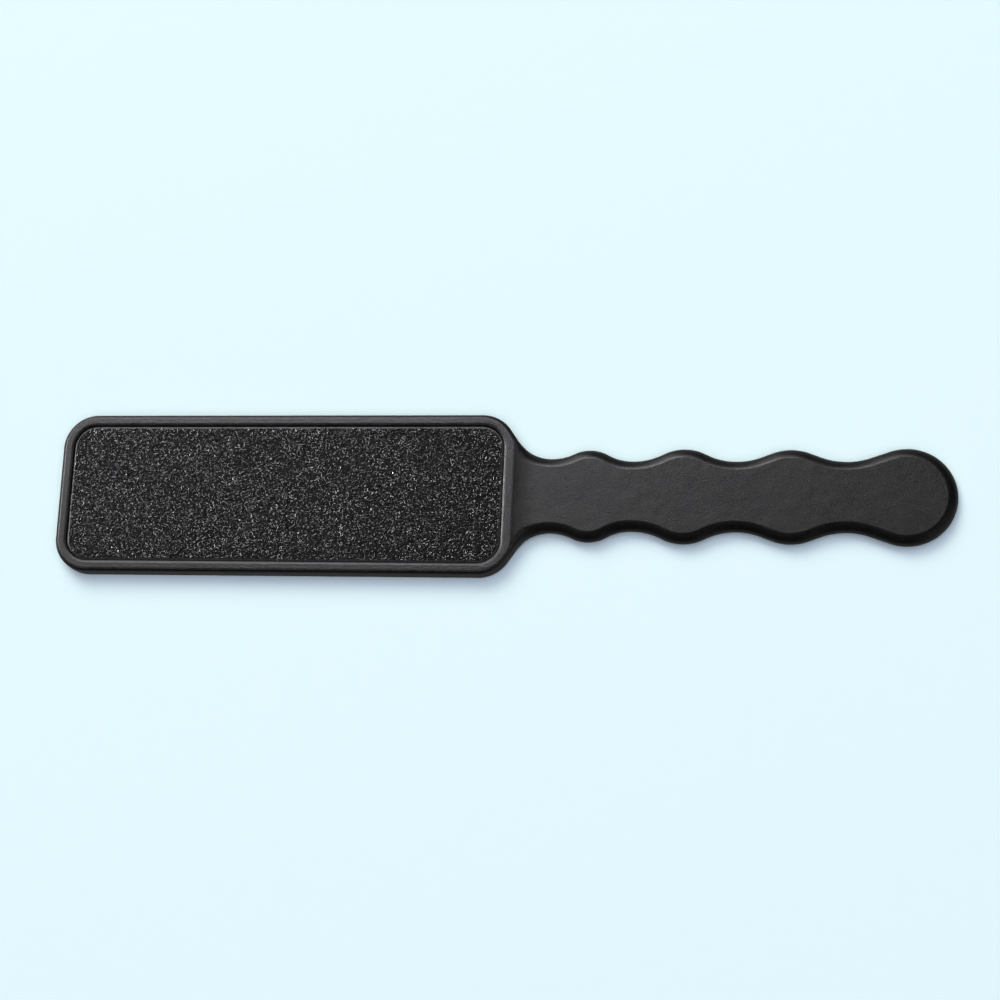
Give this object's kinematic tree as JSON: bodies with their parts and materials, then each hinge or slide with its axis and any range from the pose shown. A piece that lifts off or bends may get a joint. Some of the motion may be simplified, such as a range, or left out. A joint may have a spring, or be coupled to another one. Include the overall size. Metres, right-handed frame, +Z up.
{
  "type": "foot rasp",
  "caption": "Flat foot rasp: a long head with an abrasive sheet set inside a raised rim on each face, and a thin handle with finger waves and a round end.",
  "frame": {"origin": "middle of the tool's length and width, on the plane that it lies on", "axes": "+X along the tool from the head to the handle's round end, +Y across it, +Z up out of the coarse face"},
  "size_m": [0.25, 0.0454, 0.0054],
  "materials": {
    "paddle_plastic": "black moulded plastic, fine satin texture",
    "adhesive_film": "cloudy amber bonding film, hidden under the backing",
    "backing_cloth": "resin-stiffened dark cloth, matt",
    "coarse_grit": "black mineral grains in resin, sharp and glinting",
    "fine_grit": "fine black mineral grains in resin, dull sparkle"
  },
  "bodies": {
    "root": {"paddle_body": "paddle_plastic", "coarse_adhesive": "adhesive_film", "coarse_backing": "backing_cloth", "coarse_grit": "coarse_grit", "fine_adhesive": "adhesive_film", "fine_backing": "backing_cloth", "fine_grit": "fine_grit"}
  },
  "joints": []
}
